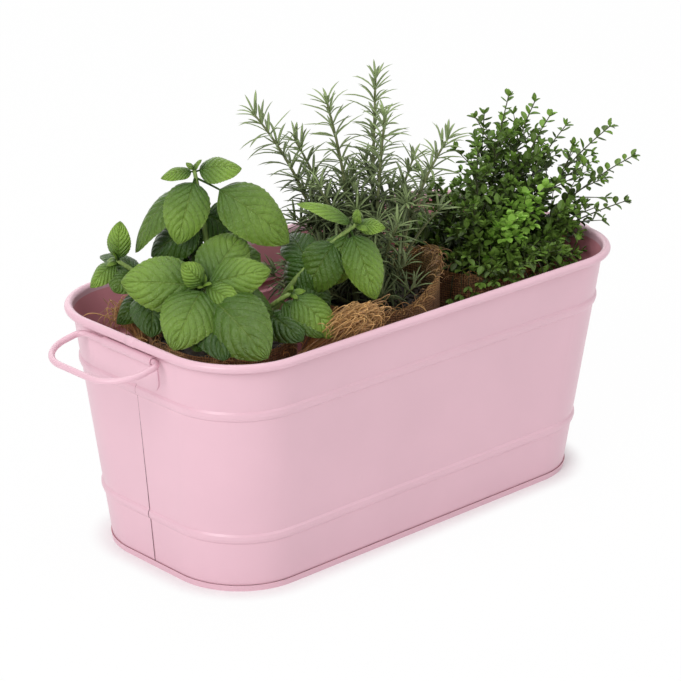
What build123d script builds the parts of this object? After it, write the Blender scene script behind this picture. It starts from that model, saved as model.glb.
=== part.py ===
from build123d import *
import math
import os

os.makedirs("parts", exist_ok=True)

# Tub: driving dimensions in millimetres
TUB_HEIGHT = 150.0
TOP_LENGTH = 336.0
TOP_WIDTH = 170.0
FOOT_LENGTH = 307.0
FOOT_WIDTH = 140.0
CORNER_R = 45.0
SHEET = 0.6
RIM_WIRE_R = 1.9
BEAD_FEET = (0.212 * TUB_HEIGHT, 0.75 * TUB_HEIGHT)
BEAD_HEIGHT = 6.5
BEAD_DEPTH = 1.4
LIP_HEIGHT = 3.8
FLOOR_Z = 4.0
SEAM_GAP = 0.3
SEAM_LAP = 4.0

# Handles and brackets
HANDLE_WIRE_R = 1.9
HANDLE_DEPTH = 33.5
HANDLE_REST = 10.0
HANDLE_PLAY = 8.0
HANDLE_SLIDE = 7.5
HANDLE_NECK = 6.0
HANDLE_BEND = 22.0
BRACKET_WIDTH = 44.0
BRACKET_SHEET = 0.7
HINGE_DROP = 8.8
HINGE_PLAY = 0.25

# Herbs: sack centre and mouth radius, sack form and soil level
HERBS = {
    "basil": (-0.295 * TOP_LENGTH, 0.0, 46.0),
    "rosemary": (0.048 * TOP_LENGTH, -4.0, 46.0),
    "thyme": (0.325 * TOP_LENGTH, -4.0, 42.0),
}
SACK_FOOT_R = 39.0
SACK_CLOTH = 2.0
SACK_TOP = TUB_HEIGHT - 14.0
SOIL_TOP = SACK_TOP - 7.0
ROOT_SPREAD = 0.28
LEAF_CLEAR = 1.8
HERB_UNIT = TUB_HEIGHT / 150
WINDOW_SIDE = Vector(-0.684, -0.730, 0)

# Basil stems from the sack centre at rim height: tip, then leaves as (place on stem, leaf tip, width, turn)
BASIL_STEMS = [
    ((-6, 17, 82), [
        (0.98, (-22, 28, 77), 11, 30), (0.98, (15, -1, 82), 20, 35), (0.95, (-25, 10, 42), 27, 65),
        (0.94, (30, -25, 39), 33, 45), (0.90, (-34, 38, 32), 22, 20), (0.72, (26, 14, 32), 28, 55),
        (0.64, (-24, 36, 28), 26, 45), (0.60, (26, 30, 34), 26, 10), (0.55, (-6, 27, 30), 24, 50),
        (0.50, (-20, 48, 16), 25, 10), (0.42, (12, 42, 8), 26, 10), (0.55, (2, 52, 26), 26, -25),
        (0.40, (-16, 26, 8), 28, 55), (0.38, (28, -2, 27), 36, 55)]),
    ((-25, -12, 23), [
        (0.97, (-58, 22, 24), 33, 62), (0.97, (6, -36, 31), 24, 55), (0.80, (6, -38, 4), 28, 58),
        (0.95, (-61, -28, -3), 34, 55), (0.82, (-36, -66, -5), 42, 58), (0.98, (-37, -8, 38), 15, 50),
        (0.98, (-18, -36, 16), 16, 60), (0.50, (-44, -52, -7), 32, 45), (0.42, (-50, -34, -5), 28, 45)]),
    ((-45, 42, 29), [
        (0.98, (-43, 40, 53), 14, 40), (0.98, (-60, 48, 14), 13, 40), (0.85, (-55, 32, 14), 21, 50),
        (0.78, (-38, 66, 24), 17, 10), (0.60, (-50, 37, -8), 18, 40), (0.62, (-54, 0, -5), 27, 50),
        (0.50, (-44, 14, -6), 26, 45)]),
    ((16, -42, 16), [
        (0.97, (29, -66, -8), 23, 40), (0.84, (20, -65, -6), 19, 40)]),
    ((59, -52, 51), [
        (0.98, (31, -30, 64), 14, 20), (0.98, (72, -62, 48), 11, 40), (0.95, (58, -69, 9), 23, 55),
        (0.86, (37, -32, 8), 27, 50), (0.94, (50, -40, 12), 24, 45), (0.66, (33, -20, 6), 25, 45),
        (0.50, (45, -44, 0), 20, 45), (0.62, (50, -2, 34), 22, 50), (0.58, (48, -8, 3), 24, 55)]),
]
LEAF_ARCH = 0.13
LEAF_DOME = 0.3
LEAF_THICK = 0.8
# Rosemary and thyme: tips of the shoots from the sack centre at rim height
ROSEMARY_TIPS = [
    (-60, 39, 100), (-34, 31, 80), (-27, 10, 106), (17, 14, 113), (-2, -14, 98), (28, -38, 84),
    (32, -4, 62), (-10, -34, 36), (-38, 4, 56), (36, -24, 34)]
THYME_TIPS = [
    (24, 18, 70), (27, 0, 85), (43, -8, 80), (41, -23, 74), (-21, -20, 66), (69, -12, 60),
    (73, -46, 66), (84, -56, 46), (72, -62, 20), (18, -42, 36), (-11, -48, 24), (47, -58, 20),
    (-27, 26, 40), (-34, -30, 34), (48, 14, 46)]
NEEDLE_LENGTH = 17.0
NEEDLES_PER_WHORL = 4
WHORL_PITCH = 11.0
THYME_LEAF_LENGTH = 7.0
THYME_PAIR_PITCH = 10.5
THYME_TWIGS = 3


def half_length(z):
    return (FOOT_LENGTH + (TOP_LENGTH - FOOT_LENGTH) * z / TUB_HEIGHT) / 2


def half_width(z):
    return (FOOT_WIDTH + (TOP_WIDTH - FOOT_WIDTH) * z / TUB_HEIGHT) / 2


def stack(levels):
    """Solid through tub outlines at (height, outward offset) levels."""
    outlines = []
    for z, offset in levels:
        length, width = 2 * (half_length(z) + offset), 2 * (half_width(z) + offset)
        outlines.append(Pos(0, 0, z) * RectangleRounded(length, width, CORNER_R + offset))
    return loft(outlines, ruled=True)


def wall_levels(low, high, offset):
    """Levels of one wall face from low to high, with its swaged beads."""
    levels = [(low, offset)]
    for foot in BEAD_FEET:
        for part, rise in ((0.0, 0.0), (0.2, 0.75), (0.5, 1.0), (0.8, 0.75), (1.0, 0.0)):
            levels.append((foot + part * BEAD_HEIGHT, offset + rise * BEAD_DEPTH))
    return levels + [(high, offset)]


def rim_path(z, offset):
    """Closed loop round the tub at height z, starting at the middle of the front."""
    a, b, r = half_length(z) + offset, half_width(z) + offset, CORNER_R + offset
    edges = [Line((0, -b), (a - r, -b)), CenterArc((a - r, r - b), r, -90, 90),
             Line((a, r - b), (a, b - r)), CenterArc((a - r, b - r), r, 0, 90),
             Line((a - r, b), (r - a, b)), CenterArc((r - a, b - r), r, 90, 90),
             Line((-a, b - r), (-a, r - b)), CenterArc((r - a, r - b), r, 180, 90),
             Line((r - a, -b), (0, -b))]
    return Pos(0, 0, z) * Wire(edges)


def save(node, shape):
    export_step(shape, f"parts/{node}.step")


# Walls: a tapered shell with a rim rolled outward, cut into two halves at the end seams
roll_in = RIM_WIRE_R + 0.1
roll_out = roll_in + SHEET
rim_z = TUB_HEIGHT - roll_out
rim_plane = Plane((0, -half_width(rim_z) - roll_in, rim_z), x_dir=(0, -1, 0), z_dir=(-1, 0, 0))
shell = stack(wall_levels(SHEET, rim_z, 0)) - stack(wall_levels(SHEET - 1, rim_z + 1, -SHEET))
curl_gap = Polygon((0, 0), (-9, 0), (-9, -9), (-4, -9), align=None)
curl = Circle(roll_out) - Circle(roll_in) - curl_gap
shell += sweep(rim_plane * curl, path=rim_path(rim_z, roll_in))
room = 2 * TOP_LENGTH
front_wall = shell & Pos(0, -SEAM_GAP / 2 - room / 2, 0) * Box(room, room, room)
rear_wall = shell & Pos(0, SEAM_GAP / 2 + room / 2, 0) * Box(room, room, room)
lap_low, lap_high = FLOOR_Z + 3, rim_z - 4
lap_points = [(half_length(z) - SHEET - deep, z) for z, deep in
              ((lap_low, 0), (lap_high, 0), (lap_high, 2 * SHEET), (lap_low, 2 * SHEET))]
lap = extrude(Plane.XZ * Polygon(*lap_points, align=None), SEAM_LAP, both=True)
rear_wall += [lap, mirror(lap, about=Plane.YZ)]
rim_wire = sweep(rim_plane * Circle(RIM_WIRE_R), path=rim_path(rim_z, roll_in))

# Base pan: a raised floor whose edge is folded under and up round the walls
fold = 0.1
inner, outer = -SHEET - fold, fold + SHEET
base_pan = stack([(0, outer), (LIP_HEIGHT, outer)])
channel = stack([(SHEET, fold), (LIP_HEIGHT + 1, fold)])
base_pan -= channel - stack([(SHEET, inner), (LIP_HEIGHT + 1, inner)])
base_pan += stack([(0, inner), (FLOOR_Z + SHEET, inner)])
base_pan -= stack([(-1, inner - SHEET), (FLOOR_Z, inner - SHEET)])

# Bracket and handle of the right end; the left end is their mirror image
slope = (TOP_LENGTH - FOOT_LENGTH) / 2 / TUB_HEIGHT
hinge_z = TUB_HEIGHT - HINGE_DROP
roll_bore = HANDLE_WIRE_R + HINGE_PLAY
bracket_roll = roll_bore + BRACKET_SHEET
wall_normal = Vector(1, 0, -slope).normalized()
hinge_foot = Vector(half_length(hinge_z), 0, hinge_z)
hinge = hinge_foot + wall_normal * bracket_roll
plate_plane = Plane(hinge_foot, x_dir=(0, 1, 0), z_dir=wall_normal)
plate_foot = BEAD_FEET[1] + BEAD_HEIGHT + 1.5
plate = Rectangle(BRACKET_WIDTH, (hinge_z - plate_foot) / wall_normal.X, align=(Align.CENTER, Align.MAX))
plate = fillet(plate.vertices().group_by(Axis.Y)[0], 7)
hinge_plane = Plane(hinge, x_dir=(1, 0, 0), z_dir=(0, 1, 0))
right_bracket = extrude(plate_plane * plate, BRACKET_SHEET)
right_bracket += extrude(hinge_plane * Circle(bracket_roll), BRACKET_WIDTH / 2, both=True)
right_bracket -= extrude(hinge_plane * Circle(roll_bore), BRACKET_WIDTH, both=True)

rest = math.radians(HANDLE_REST)
loop_plane = Plane(hinge, x_dir=(0, -1, 0), z_dir=(math.sin(rest), 0, math.cos(rest)))
bar = BRACKET_WIDTH / 2 + HANDLE_PLAY
front, rear = bar + HANDLE_NECK - HANDLE_SLIDE, -bar - HANDLE_NECK - HANDLE_SLIDE
shoulder = HANDLE_DEPTH - HANDLE_BEND
loop = [Line((0, 0), (front - HANDLE_NECK, 0)),
        CenterArc((front - HANDLE_NECK, HANDLE_NECK), HANDLE_NECK, -90, 90),
        Line((front, HANDLE_NECK), (front, shoulder)),
        CenterArc((front - HANDLE_BEND, shoulder), HANDLE_BEND, 0, 90),
        Line((front - HANDLE_BEND, HANDLE_DEPTH), (rear + HANDLE_BEND, HANDLE_DEPTH)),
        CenterArc((rear + HANDLE_BEND, shoulder), HANDLE_BEND, 90, 90),
        Line((rear, shoulder), (rear, HANDLE_NECK)),
        CenterArc((rear + HANDLE_NECK, HANDLE_NECK), HANDLE_NECK, 180, 90),
        Line((rear + HANDLE_NECK, 0), (0, 0))]
right_handle = sweep(hinge_plane * Circle(HANDLE_WIRE_R), path=loop_plane * Wire(loop))

tub = {"front_wall": front_wall, "rear_wall": rear_wall, "rim_wire": rim_wire, "base_pan": base_pan,
       "right_bracket": right_bracket, "left_bracket": mirror(right_bracket, about=Plane.YZ),
       "right_handle": right_handle, "left_handle": mirror(right_handle, about=Plane.YZ)}
for node, shape in tub.items():
    save(node, shape)

# Sacks, each a tapered cup of cloth, and the root balls that fill them
floor_top = FLOOR_Z + SHEET
upright = (Align.CENTER, Align.CENTER, Align.MIN)
for herb, (x, y, mouth) in HERBS.items():
    height = SACK_TOP - floor_top
    bag = Cone(SACK_FOOT_R, mouth, height, align=upright)
    bag = fillet(bag.edges().sort_by(Axis.Z)[0], 6)
    hollow = Cone(SACK_FOOT_R - SACK_CLOTH, mouth - SACK_CLOTH, height, align=upright)
    hollow = fillet(hollow.edges().sort_by(Axis.Z)[0], 5)
    soil_height = SOIL_TOP - floor_top - SACK_CLOTH
    soil = hollow & Box(room, room, soil_height, align=upright)
    save(f"{herb}_sack", Pos(x, y, floor_top) * (bag - Pos(0, 0, SACK_CLOTH) * hollow))
    save(f"{herb}_root_ball", Pos(x, y, floor_top + SACK_CLOTH) * soil)


def skin(rings, start=None, end=None):
    """Closed solid of flat facets over rings of points; each end is a point or a flat cap."""
    count = len(rings[0])
    faces = []
    for lower, upper in zip(rings, rings[1:]):
        for i in range(count):
            j = (i + 1) % count
            faces += [(lower[i], lower[j], upper[j]), (lower[i], upper[j], upper[i])]
    for ring, point in ((rings[0], start), (rings[-1], end)):
        if point is None:
            faces.append(tuple(ring))
        else:
            faces += [(ring[i], ring[(i + 1) % count], point) for i in range(count)]
    return Solid(Shell([Face(Wire.make_polygon(points, close=True)) for points in faces]))


class Stem:
    """Shoot that leaves its root upright and bends over to its tip."""

    def __init__(self, root, tip, knee=0.25):
        self.root, self.tip = root, tip
        lean = (tip - root) * knee
        self.knee = Vector(root.X + lean.X, root.Y + lean.Y, root.Z + 0.6 * (tip.Z - root.Z))

    def point(self, share):
        return self.root * (1 - share) ** 2 + self.knee * (2 * share * (1 - share)) + self.tip * share ** 2

    def frame(self, share):
        """Point of the stem, its direction and two directions across it."""
        along = (self.point(share + 0.02) - self.point(share - 0.02)).normalized()
        across = along.cross(Vector(0.3, 1, 0)).normalized()
        return self.point(share), along, across, along.cross(across)

    def length(self):
        return (self.tip - self.root).length

    def solid(self, foot_r, tip_r, joints=6, sides=4, flat_foot=True):
        rings = []
        for k in range(joints + 1):
            centre, along, u, v = self.frame(k / joints)
            if k == 0 and flat_foot:
                u = Vector(u.X, u.Y, 0).normalized()
                v = Vector(-u.Y, u.X, 0)
            r = foot_r + (tip_r - foot_r) * k / joints
            angles = [2 * math.pi * i / sides for i in range(sides)]
            rings.append([centre + u * (r * math.cos(t)) + v * (r * math.sin(t)) for t in angles])
        return skin(rings)


def facing(turn):
    """Upward direction, turned by some degrees toward the window."""
    angle = math.radians(turn)
    return WINDOW_SIDE * math.sin(angle) + Vector(0, 0, math.cos(angle))


def leaf_frame(base, tip, up):
    """Direction across a leaf and direction out of its upper face."""
    along = (tip - base).normalized()
    normal = up - along * up.dot(along)
    if normal.length < 0.2:
        normal = WINDOW_SIDE - along * WINDOW_SIDE.dot(along)
    normal = normal.normalized()
    return along.cross(normal), normal


def basil_width(s):
    """Half width of a basil leaf at share s of its blade, as a part of its widest."""
    return s ** 0.5 * (1 - s) ** 0.68 / 0.446


def basil_blade(base, tip, width, turn):
    """Rings of a domed oval leaf: left edge, two upper points, right edge and two points underneath."""
    across, normal = leaf_frame(base, tip, facing(turn))
    reach = tip - base
    rings = []
    for share in (0.12, 0.3, 0.58, 0.85):
        half = width / 2 * basil_width((share - 0.1) / 0.9)
        middle = base + reach * share + normal * (LEAF_ARCH * reach.length * 4 * share * (1 - share))
        profile = [(-1, -LEAF_DOME * half), (-0.55, 0), (0.55, 0), (1, -LEAF_DOME * half),
                   (0.55, -LEAF_THICK), (-0.55, -LEAF_THICK)]
        rings.append([middle + across * (half * u) + normal * rise for u, rise in profile])
    return rings


def small_blade(base, tip, width, thick):
    """One ring of a needle or small leaf: two edges and a rib underneath."""
    across, normal = leaf_frame(base, tip, Vector(0, 0, 1))
    middle = base + (tip - base) * 0.55 + normal * (0.09 * (tip - base).length)
    return [[middle - across * (width / 2), middle + across * (width / 2), middle - normal * (thick / 2)]]


def leaf_points(base, rings, tip):
    """Points over a leaf's upper face, no further apart than the clearance."""
    points = []
    wide = len(rings[0]) // 2
    rows = [[base] * (wide + 1)] + [ring[:wide + 1] for ring in rings] + [[tip] * (wide + 1)]
    for lower, upper in zip(rows, rows[1:]):
        for i in range(wide):
            width = max((row[i] - row[i + 1]).length for row in (lower, upper))
            columns = max(1, math.ceil(width / LEAF_CLEAR))
            steps = max(2, math.ceil((lower[i] - upper[i]).length / LEAF_CLEAR))
            for c in range(columns + 1):
                start = lower[i] + (lower[i + 1] - lower[i]) * (c / columns)
                end = upper[i] + (upper[i + 1] - upper[i]) * (c / columns)
                points += [start + (end - start) * (j / steps) for j in range(steps + 1)]
    return [p for p in points if (p - base).length > LEAF_CLEAR]


taken = {}


def cell(p):
    return tuple(round(value / LEAF_CLEAR) for value in (p.X, p.Y, p.Z))


def claim(points, owner):
    """Mark the room round these points as taken by one stem."""
    for i, j, k in {cell(p) for p in points}:
        for near in range(27):
            taken.setdefault((i + near % 3 - 1, j + near // 3 % 3 - 1, k + near // 9 - 1), owner)


def in_tub(p):
    """True for a point clear of the walls' inner face."""
    x, y = half_length(p.Z) - abs(p.X), half_width(p.Z) - abs(p.Y)
    corner = math.hypot(max(0, CORNER_R - x), max(0, CORNER_R - y))
    return corner < CORNER_R - 4


def in_sack(p, herb, margin):
    x, y, mouth = HERBS[herb]
    return math.hypot(p.X - x, p.Y - y) < mouth + margin


def has_room(p, herb):
    """True for a point clear of the tub, the sacks, the handles' swing and the other herbs' way out."""
    if p.Z < SOIL_TOP + 2 or (p.Z < SACK_TOP + 2 and not in_sack(p, herb, -4)):
        return False
    if p.Z < TUB_HEIGHT + 2 and not in_tub(p):
        return False
    if abs(p.X) > hinge.X + HANDLE_DEPTH * math.cos(rest) or abs(p.Y) > half_width(TUB_HEIGHT):
        return False
    swing = math.hypot(abs(p.X) - hinge.X, p.Z - hinge.Z)
    if abs(p.X) > hinge.X - 4 and abs(p.Y) < 5 - rear and swing < HANDLE_DEPTH + 5:
        return False
    if any(in_sack(p, other, 1.5) for other in HERBS if other != herb):
        return False
    first = (HERBS["basil"][0] + HERBS["basil"][2] + HERBS["rosemary"][0] - HERBS["rosemary"][2]) / 2
    second = (HERBS["rosemary"][0] + HERBS["rosemary"][2] + HERBS["thyme"][0] - HERBS["thyme"][2]) / 2
    slanted = p.X + 0.9 * p.Y - first
    sides = {"basil": slanted < -1, "rosemary": slanted > 1 and p.X < second - 1, "thyme": p.X > second + 1}
    return sides[herb]


def takes_room(points, owner, herb):
    """Claim these points for a stem where all of them are free."""
    free = all(taken.get(cell(p), owner) == owner and has_room(p, herb) for p in points)
    if free:
        claim(points, owner)
    return free


def grow(pieces, base, rings, tip, owner, herb):
    """Add a leaf to a stem's pieces where its place is free."""
    if takes_room(leaf_points(base, rings, tip), owner, herb):
        pieces.append(skin(rings, start=base, end=tip))


def grow_whorl(pieces, stem, share, turns, rise, length, width, owner, herb):
    """Small leaves set round a stem at one place, pointing outward and up."""
    centre, along, u, v = stem.frame(share)
    for turn in turns:
        out = u * math.cos(turn) + v * math.sin(turn)
        base = centre + out * 0.2
        tip = base + (out + along * rise).normalized() * length
        grow(pieces, base, small_blade(base, tip, width, 1.6), tip, owner, herb)


def basil_leaves(stem, leaves, centre, owner):
    pieces = [stem.solid(2.2 * HERB_UNIT, 1.3 * HERB_UNIT)]
    for share, offset, width, turn in leaves:
        base, tip = stem.point(share), centre + Vector(*offset) * HERB_UNIT
        grow(pieces, base, basil_blade(base, tip, width * HERB_UNIT, turn), tip, owner, "basil")
    return pieces


def rosemary_leaves(stem, owner):
    pieces = [stem.solid(1.6 * HERB_UNIT, 0.8 * HERB_UNIT)]
    whorls = int(stem.length() / WHORL_PITCH)
    for w in range(2, whorls + 1):
        share = 0.985 * w / whorls
        turns = [2 * math.pi * (n / NEEDLES_PER_WHORL + 0.382 * w) for n in range(NEEDLES_PER_WHORL)]
        length = NEEDLE_LENGTH * (1.1 - 0.35 * share)
        grow_whorl(pieces, stem, share, turns, 0.5 if w < whorls else 1.3, length, 1.8, owner, "rosemary")
    return pieces


def thyme_pairs(pieces, stem, owner, first):
    pairs = int(stem.length() / THYME_PAIR_PITCH)
    for w in range(first, pairs + 1):
        turns = (math.pi / 2 * w + 0.4, math.pi / 2 * w + math.pi + 0.4)
        rise = 0.6 if w < pairs else 1.3
        grow_whorl(pieces, stem, 0.97 * w / pairs, turns, rise, THYME_LEAF_LENGTH, 4.4, owner, "thyme")


def thyme_leaves(stem, owner):
    pieces = [stem.solid(0.9 * HERB_UNIT, 0.5 * HERB_UNIT)]
    thyme_pairs(pieces, stem, owner, 2)
    for n in range(THYME_TWIGS):
        share = 0.3 + 0.5 * n / THYME_TWIGS
        centre, along, u, v = stem.frame(share)
        out = u * math.cos(2.4 * n) + v * math.sin(2.4 * n)
        tip = centre + (out + along).normalized() * (stem.length() * 0.42 * (1.1 - share))
        twig = Stem(centre, tip, knee=0.6)
        if takes_room([twig.point(k / 20) for k in range(2, 21)], owner, "thyme"):
            pieces.append(twig.solid(0.55, 0.4, joints=2, sides=3, flat_foot=False))
            thyme_pairs(pieces, twig, owner, 1)
    return pieces


# Herbs: every stem claims its room first, then its leaves fill what is left
stems = []
tips = {"basil": [tip for tip, leaves in BASIL_STEMS], "rosemary": ROSEMARY_TIPS, "thyme": THYME_TIPS}
for herb, (x, y, mouth) in HERBS.items():
    for number, offset in enumerate(tips[herb], 1):
        offset = Vector(*offset) * HERB_UNIT
        root = Vector(x + ROOT_SPREAD * offset.X, y + ROOT_SPREAD * offset.Y, SOIL_TOP)
        stem = Stem(root, Vector(x, y, TUB_HEIGHT) + offset)
        owner = f"{herb}_stem_{number}"
        claim([stem.point(k / 80) for k in range(81)], owner)
        stems.append((herb, number, stem, owner))

for herb, number, stem, owner in stems:
    if herb == "basil":
        centre = Vector(HERBS[herb][0], HERBS[herb][1], TUB_HEIGHT)
        pieces = basil_leaves(stem, BASIL_STEMS[number - 1][1], centre, owner)
    else:
        pieces = rosemary_leaves(stem, owner) if herb == "rosemary" else thyme_leaves(stem, owner)
    save(owner, pieces[0].fuse(*pieces[1:]))
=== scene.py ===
"""Looks of an indoor herb planter: a painted tub with basil, rosemary and thyme in jute sacks."""

import math
import random

import bpy
from mathutils import Matrix, Vector, noise


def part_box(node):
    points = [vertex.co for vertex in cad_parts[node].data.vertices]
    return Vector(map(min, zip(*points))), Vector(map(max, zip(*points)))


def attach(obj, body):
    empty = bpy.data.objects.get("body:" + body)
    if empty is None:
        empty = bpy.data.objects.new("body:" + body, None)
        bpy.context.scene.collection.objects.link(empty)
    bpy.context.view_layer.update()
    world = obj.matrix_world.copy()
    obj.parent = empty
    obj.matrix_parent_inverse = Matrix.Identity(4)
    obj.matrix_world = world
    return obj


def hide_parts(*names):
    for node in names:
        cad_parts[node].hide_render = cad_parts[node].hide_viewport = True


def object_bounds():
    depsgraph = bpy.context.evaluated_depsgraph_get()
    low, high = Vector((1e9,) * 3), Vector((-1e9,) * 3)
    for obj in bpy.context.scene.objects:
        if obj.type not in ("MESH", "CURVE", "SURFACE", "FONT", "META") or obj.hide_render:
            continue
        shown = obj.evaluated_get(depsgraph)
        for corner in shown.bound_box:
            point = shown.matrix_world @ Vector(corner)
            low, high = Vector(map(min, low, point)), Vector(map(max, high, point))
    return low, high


bl_info = {
    "name": "Herb planter looks",
    "version": (1, 0, 0),
    "blender": (4, 5, 0),
    "location": "View3D > Sidebar > Planter",
    "description": "Dresses the packed herb planter with coat, jute, soil and leaves",
    "category": "Object",
}

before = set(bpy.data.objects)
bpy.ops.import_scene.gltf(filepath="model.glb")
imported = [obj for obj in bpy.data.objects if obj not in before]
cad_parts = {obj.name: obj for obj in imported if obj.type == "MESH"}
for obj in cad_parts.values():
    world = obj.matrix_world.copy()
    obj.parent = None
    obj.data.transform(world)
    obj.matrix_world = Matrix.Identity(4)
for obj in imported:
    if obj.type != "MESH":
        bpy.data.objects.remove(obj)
CAD_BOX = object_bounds()
MM = 0.001

# Tub outline, read from the parts in model.glb, with some sizes given
WALL_LOW, WALL_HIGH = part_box("front_wall")
TUB_HEIGHT = WALL_HIGH.z
RIM_OUT = 4.6 * MM
RIM_R = 2.5 * MM
TOP_HALF_LENGTH = WALL_HIGH.x - RIM_OUT
TOP_HALF_WIDTH = -WALL_LOW.y - RIM_OUT
PAN_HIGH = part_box("base_pan")[1]
FOOT_FOLD = 0.7 * MM
FOOT_HALF_LENGTH = PAN_HIGH.x - FOOT_FOLD
FOOT_HALF_WIDTH = PAN_HIGH.y - FOOT_FOLD
CORNER_R = 45 * MM

# Fine lines of the tub: beads as (share of height, share of depth), rim laps as (place, rise) in mm
BEAD_FEET = (0.212 * TUB_HEIGHT, 0.75 * TUB_HEIGHT)
BEAD_HEIGHT = 6.5 * MM
BEAD_DEPTH = 1.4 * MM
BEAD_OUTLINE = ((0.0, 0.0), (0.2, 0.75), (0.5, 1.0), (0.8, 0.75), (1.0, 0.0))
LIP_HEIGHT = 3.8 * MM
# Dark strips of painted shade: the lip line's span about the lip's top, and the end seams' width, how far
# they stand out and how far below the rim they stop
LIP_LINE = (-0.1 * MM, 0.25 * MM)
SEAM_WIDE = 0.45 * MM
SEAM_PROUD = 0.03 * MM
SEAM_BELOW_RIM = 6 * MM
LAP_OUTLINE = ((-6.5, 0.0), (-6.2, 0.35), (0.7, 0.35), (1.0, 0.0))
LAP_TURNS = [math.radians(-115 + 12 * k) for k in range(22)]

# Room that a handle swings through
HANDLE_LOW, HANDLE_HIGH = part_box("right_handle")
HINGE_OUT = 170 * MM
HINGE_HEIGHT = 141 * MM
SWING_CLEAR = 4 * MM
SWING_SIDE = max(-HANDLE_LOW.y, HANDLE_HIGH.y) + SWING_CLEAR
SWING_REACH = HANDLE_HIGH.x - HINGE_OUT + 5 * MM

# Basil stems in mm from the sack's middle at rim height: tip, then leaves by place, tip, width and turn
BASIL_STEMS = [
    ((-6, 17, 82), [
        (0.98, (-22, 28, 77), 11, 30), (0.98, (15, -1, 82), 20, 35), (0.95, (-25, 10, 42), 27, 65),
        (0.94, (30, -25, 39), 33, 45), (0.90, (-34, 38, 32), 22, 20), (0.72, (26, 14, 32), 28, 55),
        (0.64, (-24, 36, 28), 26, 45), (0.60, (26, 30, 34), 26, 10), (0.55, (-6, 27, 30), 24, 50),
        (0.50, (-20, 48, 16), 25, 10), (0.42, (12, 42, 8), 26, 10), (0.55, (2, 52, 26), 26, -25),
        (0.40, (-16, 26, 8), 28, 55), (0.38, (28, -2, 27), 36, 55)]),
    ((-25, -12, 23), [
        (0.97, (-58, 22, 24), 33, 62), (0.97, (6, -36, 31), 24, 55), (0.80, (6, -38, 4), 28, 58),
        (0.95, (-61, -28, -3), 34, 55), (0.82, (-27, -70, -5), 40, 58), (0.98, (-37, -8, 38), 15, 50),
        (0.98, (-18, -36, 16), 16, 60), (0.50, (-44, -52, -7), 32, 45), (0.42, (-50, -34, -5), 28, 45)]),
    ((-45, 42, 29), [
        (0.98, (-43, 40, 53), 14, 40), (0.98, (-60, 48, 14), 13, 40), (0.85, (-55, 32, 14), 21, 50),
        (0.78, (-38, 66, 24), 17, 10), (0.60, (-50, 37, -8), 18, 40), (0.62, (-54, 0, -5), 27, 50),
        (0.50, (-44, 14, -6), 26, 45)]),
    ((16, -42, 16), [
        (0.97, (29, -66, -8), 23, 40), (0.84, (20, -65, -6), 19, 40)]),
    ((59, -52, 51), [
        (0.98, (31, -30, 64), 14, 20), (0.98, (72, -62, 48), 11, 40), (0.95, (58, -69, 9), 23, 55),
        (0.86, (37, -32, 8), 27, 50), (0.94, (50, -40, 12), 24, 45), (0.66, (33, -20, 6), 25, 45),
        (0.50, (45, -44, 0), 20, 45), (0.62, (50, -2, 34), 22, 50), (0.58, (48, -8, 3), 24, 55)]),
]
# Leaves that fill in behind others, by stem and in the same terms
FILLING_IN = {2: [(0.93, (10, -7, 45), 32, 60)], 4: [(0.55, (6, -63, -5), 24, 45)]}
# Leaves wider than this, in mm, get this much painted light in their tint, as broad leaves that face the
# light
BROAD_LEAF = 35
BROAD_LEAF_PAINTED_LIGHT = 0.2
# Stalk as a share of the leaf, and the longer ones by stem and place in its list
STALK = 0.1
LONG_STALKS = {(1, 3): 0.24}

# Basil blade: veins on each side, their sweep and bend, and shares of the length or of the half width
VEINS = 8.0
VEIN_SWEEP = 0.34
VEIN_BEND = 1.15
LEAF_ARCH = 0.13
LEAF_DOME = 0.3
LEAF_SHOULDER = 0.3
MIDRIB_FLAT = 0.25
BLISTER = 0.05
RIPPLE = 0.05
EDGE = 0.95
TEETH = 13
TOOTH_DEPTH = 0.022
STALK_R = 0.7 * MM
BLADE_THICK = 0.4 * MM
BLADE_EDGE = 0.02 * MM
THIN_POINT = 0.125
# Powers that round the blade's foot and point, and the width that they give at its widest
BLADE_FOOT = 0.52
BLADE_POINT = 0.78
BLADE_WIDEST = 0.417
BASIL_STEM_R = (2.1 * MM, 1.2 * MM)

# Rosemary and thyme: tips of the shoots in mm from the sack's middle at rim height
ROSEMARY_TIPS = [
    (-60, 39, 100), (-34, 31, 80), (-27, 10, 106), (17, 14, 113), (-2, -14, 98), (28, -38, 84),
    (32, -4, 62), (-10, -34, 36), (-38, 4, 56), (36, -24, 34)]
THYME_TIPS = [
    (24, 18, 70), (27, 0, 85), (43, -8, 80), (41, -23, 74), (-21, -20, 66), (69, -12, 60),
    (73, -46, 66), (84, -56, 46), (72, -62, 20), (18, -42, 36), (-11, -48, 24), (47, -58, 20),
    (-27, 26, 40), (-34, -30, 34), (48, 14, 46)]
YOUNG_THYME = (10, 11)
# Radius of a main stem and of a twig at its foot
ROSEMARY_R = 1.5 * MM
ROSEMARY_TWIG_R = 0.8 * MM
THYME_R = 0.8 * MM
THYME_TWIG_R = 0.5 * MM
# Side shoots of a main stem, and the turn from one to the next in radians
ROSEMARY_SIDE_SHOOTS = 4
THYME_SIDE_SHOOTS = 15
SPIRAL = 2.4
# Share of a stem where its last leaves sit, and the share of a rosemary stem that is young
NEAR_TIP = 0.99
YOUNG_TIP = 0.12
# Outlines of a needle and of a thyme leaf: place along it, share of its width
NEEDLE_OUTLINE = ((0.0, 0.5), (0.15, 0.85), (0.35, 1.0), (0.6, 1.0), (0.82, 0.75), (1.0, 0.06))
THYME_OUTLINE = (
    (0.0, 0.14), (0.14, 0.3), (0.34, 0.85), (0.55, 1.0), (0.78, 0.8), (0.93, 0.42), (1.0, 0.06))
THYME_COLUMNS = (-1.0, -0.5, 0.0, 0.5, 1.0)
THYME_THICK = 0.3 * MM
THYME_CUP = 0.4
NEEDLE_RIDGE = 0.5
NEEDLE_BELLY = 0.4
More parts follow.
